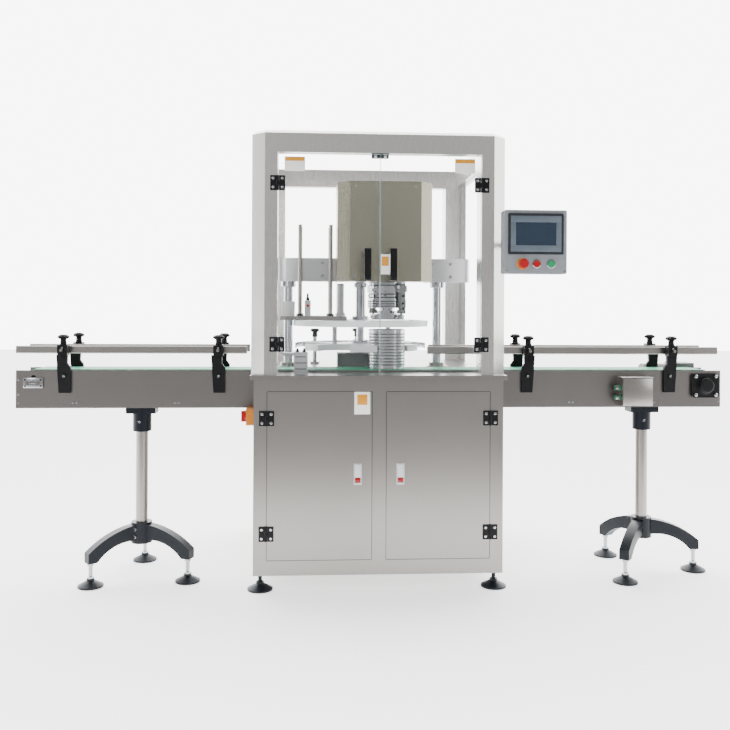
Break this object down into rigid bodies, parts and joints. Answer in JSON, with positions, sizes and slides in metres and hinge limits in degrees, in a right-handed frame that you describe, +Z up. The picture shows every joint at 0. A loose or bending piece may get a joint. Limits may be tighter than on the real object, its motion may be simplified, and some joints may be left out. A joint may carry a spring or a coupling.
{
  "type": "can capping machine",
  "caption": "Guarded turret capping and seaming machine for cans, on a cabinet with hinged doors, with a through belt conveyor on tripod stands and a swivelling operator panel.",
  "frame": {"origin": "on the floor, below the middle of the bounding box", "axes": "+X along the conveyor, the operator stands at -Y, +Z up"},
  "size_m": [3, 1.17, 1.871],
  "materials": {
    "brushed_stainless": "satin",
    "polished_stainless": "polished",
    "acrylic": "gloss",
    "black_plastic": "matte",
    "rubber_pad": "matte",
    "cast_grey": "satin",
    "white_plastic": "satin",
    "belt_green": "matte",
    "dark_casting": "satin",
    "panel_grey": "satin",
    "bezel_dark": "satin",
    "red_plastic": "gloss",
    "green_plastic": "gloss",
    "yellow_plastic": "gloss",
    "aluminium": "satin"
  },
  "bodies": {
    "machine": {"bearing_cover": "dark_casting", "cabinet_drives": "cast_grey", "cabinet_frame": "brushed_stainless", "cabinet_panels": "brushed_stainless", "can_guide": "polished_stainless", "control_box": "brushed_stainless", "conveyor_belt": "belt_green", "conveyor_frame": "brushed_stainless", "door_hardware": "black_plastic", "gear_motor": "cast_grey", "guard_frame": "brushed_stainless", "guard_windows": "acrylic", "isolator_plate": "yellow_plastic", "levelling_feet": "dark_casting", "panel_arm": "brushed_stainless", "rail_brackets": "black_plastic", "stand_castings": "dark_casting", "stand_poles": "polished_stainless", "valve_block": "aluminium", "worktop": "brushed_stainless"},
    "guard_left": {"guard_door_left": "acrylic", "guard_fittings_left": "black_plastic"},
    "guard_right": {"guard_door_right": "acrylic", "guard_fittings_right": "black_plastic"},
    "cabinet_left": {"cabinet_door_left": "brushed_stainless", "cabinet_fittings_left": "black_plastic"},
    "cabinet_right": {"cabinet_door_right": "brushed_stainless", "cabinet_fittings_right": "black_plastic"},
    "latch_left": {"latch_button_left": "red_plastic"},
    "latch_right": {"latch_button_right": "red_plastic"},
    "panel": {"panel_box": "panel_grey", "panel_screen": "bezel_dark"},
    "estop": {"emergency_stop": "red_plastic"},
    "stop_push": {"stop_button": "red_plastic"},
    "start_push": {"start_button": "green_plastic"},
    "isolator": {"isolator_knob": "red_plastic"},
    "head": {"columns": "polished_stainless", "head_bridge": "aluminium", "head_cover": "brushed_stainless", "seaming_drive": "cast_grey", "seaming_head": "polished_stainless", "lid_magazine": "brushed_stainless", "magazine_drive": "aluminium"},
    "turret": {"lid_turret": "white_plastic", "turret_sleeve": "polished_stainless"},
    "wheel": {"can_wheel": "white_plastic", "wheel_shaft": "polished_stainless", "sample_can": "aluminium"},
    "press": {"quill": "polished_stainless"},
    "chuck_spindle": {"chuck": "polished_stainless"},
    "lever_first": {"seaming_lever_first": "cast_grey"},
    "lever_second": {"seaming_lever_second": "cast_grey"},
    "roller_first": {"seaming_roller_first": "polished_stainless"},
    "roller_second": {"seaming_roller_second": "polished_stainless"},
    "tail": {"tail_roller": "rubber_pad"},
    "drive": {"drive_roller": "rubber_pad"},
    "front_left_rail": {"rail_front_left": "brushed_stainless"},
    "back_left_rail": {"rail_back_left": "brushed_stainless"},
    "front_right_rail": {"rail_front_right": "brushed_stainless"},
    "back_right_rail": {"rail_back_right": "brushed_stainless"}
  },
  "joints": [
    {"name": "guard_door_left_swing", "type": "hinge", "parent": "machine", "child": "guard_left", "pos_m": [-0.416, -0.48, 1.33], "axis": [0, 0, -1], "range_deg": [0, 110]},
    {"name": "guard_door_right_swing", "type": "hinge", "parent": "machine", "child": "guard_right", "pos_m": [0.416, -0.48, 1.33], "axis": [0, 0, 1], "range_deg": [0, 110]},
    {"name": "cabinet_door_left_swing", "type": "hinge", "parent": "machine", "child": "cabinet_left", "pos_m": [-0.456, -0.48, 0.472], "axis": [0, 0, -1], "range_deg": [0, 110]},
    {"name": "cabinet_door_right_swing", "type": "hinge", "parent": "machine", "child": "cabinet_right", "pos_m": [0.456, -0.48, 0.472], "axis": [0, 0, 1], "range_deg": [0, 110]},
    {"name": "latch_left_push", "type": "slide", "parent": "cabinet_left", "child": "latch_left", "axis": [0, 1, 0], "range_m": [0, 0.003], "stiffness_N_per_m": 400},
    {"name": "latch_right_push", "type": "slide", "parent": "cabinet_right", "child": "latch_right", "axis": [0, 1, 0], "range_m": [0, 0.003], "stiffness_N_per_m": 400},
    {"name": "panel_swivel", "type": "hinge", "parent": "machine", "child": "panel", "pos_m": [0.602, -0.47, 1.421], "axis": [0, 0, 1], "range_deg": [-12, 45]},
    {"name": "emergency_stop_push", "type": "slide", "parent": "panel", "child": "estop", "axis": [0, 1, 0], "range_m": [0, 0.005], "stiffness_N_per_m": 600},
    {"name": "stop_push_travel", "type": "slide", "parent": "panel", "child": "stop_push", "axis": [0, 1, 0], "range_m": [0, 0.003], "stiffness_N_per_m": 400},
    {"name": "start_push_travel", "type": "slide", "parent": "panel", "child": "start_push", "axis": [0, 1, 0], "range_m": [0, 0.003], "stiffness_N_per_m": 400},
    {"name": "isolator_turn", "type": "hinge", "parent": "machine", "child": "isolator", "pos_m": [-0.55, -0.385, 0.703], "axis": [-1, 0, 0], "range_deg": [0, 90]},
    {"name": "head_lift", "type": "slide", "parent": "machine", "child": "head", "axis": [0, 0, 1], "range_m": [0, 0.12]},
    {"name": "wheel_turn", "type": "hinge", "parent": "machine", "child": "wheel", "pos_m": [-0.054, -0.035, 0.976], "axis": [0, 0, 1], "continuous": true},
    {"name": "turret_turn", "type": "hinge", "parent": "head", "child": "turret", "pos_m": [-0.054, -0.035, 1.083], "axis": [0, 0, 1], "continuous": true},
    {"name": "press_stroke", "type": "slide", "parent": "head", "child": "press", "axis": [0, 0, -1], "range_m": [0, 0.038]},
    {"name": "chuck_turn", "type": "hinge", "parent": "press", "child": "chuck_spindle", "pos_m": [0.051, -0.21687, 1.114], "axis": [0, 0, 1], "continuous": true},
    {"name": "lever_first_swing", "type": "hinge", "parent": "head", "child": "lever_first", "pos_m": [0.10778, -0.29796, 1.235], "axis": [0.8192, 0.5736, 0], "range_deg": [-8, 3]},
    {"name": "roller_first_turn", "type": "hinge", "parent": "lever_first", "child": "roller_first", "pos_m": [0.10492, -0.29387, 1.114], "axis": [0, 0, 1], "continuous": true},
    {"name": "lever_second_swing", "type": "hinge", "parent": "head", "child": "lever_second", "pos_m": [-0.00578, -0.13577, 1.235], "axis": [-0.8192, -0.5736, 0], "range_deg": [-8, 3]},
    {"name": "roller_second_turn", "type": "hinge", "parent": "lever_second", "child": "roller_second", "pos_m": [-0.00292, -0.13986, 1.114], "axis": [0, 0, 1], "continuous": true},
    {"name": "drive_roller_turn", "type": "hinge", "parent": "machine", "child": "drive", "pos_m": [1.428, -0.222, 0.8567], "axis": [0, 1, 0], "continuous": true},
    {"name": "tail_roller_turn", "type": "hinge", "parent": "machine", "child": "tail", "pos_m": [-1.428, -0.222, 0.8567], "axis": [0, 1, 0], "continuous": true},
    {"name": "front_left_rail_slide", "type": "slide", "parent": "machine", "child": "front_left_rail", "axis": [0, 1, 0], "range_m": [0, 0.025]},
    {"name": "back_left_rail_slide", "type": "slide", "parent": "machine", "child": "back_left_rail", "axis": [0, -1, 0], "range_m": [0, 0.025]},
    {"name": "front_right_rail_slide", "type": "slide", "parent": "machine", "child": "front_right_rail", "axis": [0, 1, 0], "range_m": [0, 0.025]},
    {"name": "back_right_rail_slide", "type": "slide", "parent": "machine", "child": "back_right_rail", "axis": [0, -1, 0], "range_m": [0, 0.025]}
  ],
  "couplings": [
    {"joint": "turret_turn", "follows": "wheel_turn", "ratio": 1},
    {"joint": "tail_roller_turn", "follows": "drive_roller_turn", "ratio": 1}
  ]
}
